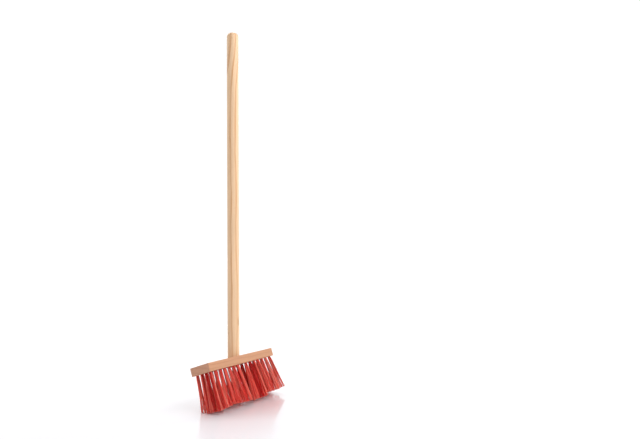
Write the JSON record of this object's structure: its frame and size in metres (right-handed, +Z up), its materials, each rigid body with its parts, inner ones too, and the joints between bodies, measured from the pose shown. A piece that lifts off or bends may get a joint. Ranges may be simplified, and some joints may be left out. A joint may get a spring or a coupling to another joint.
{
  "type": "childrens push broom",
  "caption": "Child-size push broom: round wooden handle set at a lean through a wooden block, with rows of red plastic bristle tufts that fan out.",
  "frame": {"origin": "on the floor, under the middle of the whole broom's box as it stands upright; the handle's axis is 12.8 mm behind it", "axes": "+Z up along the handle, X along the block, -Y the front, where the bristles point forward and down"},
  "size_m": [0.195, 0.0652, 0.6607],
  "materials": {
    "handle_wood": "pale yellowish softwood, sanded, with a thin clear varnish",
    "block_wood": "peach-brown hardwood, planed, bare, with grain along its length",
    "red_bristle": "red plastic filaments with a soft sheen",
    "steel": "bare bright wire nail"
  },
  "bodies": {
    "root": {"block": "block_wood", "handle": "handle_wood", "handle_nail": "steel", "tuft_row1_01": "red_bristle", "tuft_row1_02": "red_bristle", "tuft_row1_03": "red_bristle", "tuft_row1_04": "red_bristle", "tuft_row1_05": "red_bristle", "tuft_row1_06": "red_bristle", "tuft_row1_07": "red_bristle", "tuft_row1_09": "red_bristle", "tuft_row1_10": "red_bristle", "tuft_row1_11": "red_bristle", "tuft_row1_12": "red_bristle", "tuft_row1_13": "red_bristle", "tuft_row1_14": "red_bristle", "tuft_row1_15": "red_bristle", "tuft_row2_01": "red_bristle", "tuft_row2_02": "red_bristle", "tuft_row2_03": "red_bristle", "tuft_row2_04": "red_bristle", "tuft_row2_05": "red_bristle", "tuft_row2_06": "red_bristle", "tuft_row2_10": "red_bristle", "tuft_row2_11": "red_bristle", "tuft_row2_12": "red_bristle", "tuft_row2_13": "red_bristle", "tuft_row2_14": "red_bristle", "tuft_row2_15": "red_bristle", "tuft_row3_01": "red_bristle", "tuft_row3_02": "red_bristle", "tuft_row3_03": "red_bristle", "tuft_row3_04": "red_bristle", "tuft_row3_05": "red_bristle", "tuft_row3_06": "red_bristle", "tuft_row3_10": "red_bristle", "tuft_row3_11": "red_bristle", "tuft_row3_12": "red_bristle", "tuft_row3_13": "red_bristle", "tuft_row3_14": "red_bristle", "tuft_row3_15": "red_bristle", "tuft_row4_01": "red_bristle", "tuft_row4_02": "red_bristle", "tuft_row4_03": "red_bristle", "tuft_row4_04": "red_bristle", "tuft_row4_05": "red_bristle", "tuft_row4_06": "red_bristle", "tuft_row4_07": "red_bristle", "tuft_row4_09": "red_bristle", "tuft_row4_10": "red_bristle", "tuft_row4_11": "red_bristle", "tuft_row4_12": "red_bristle", "tuft_row4_13": "red_bristle", "tuft_row4_14": "red_bristle", "tuft_row4_15": "red_bristle"}
  },
  "joints": []
}
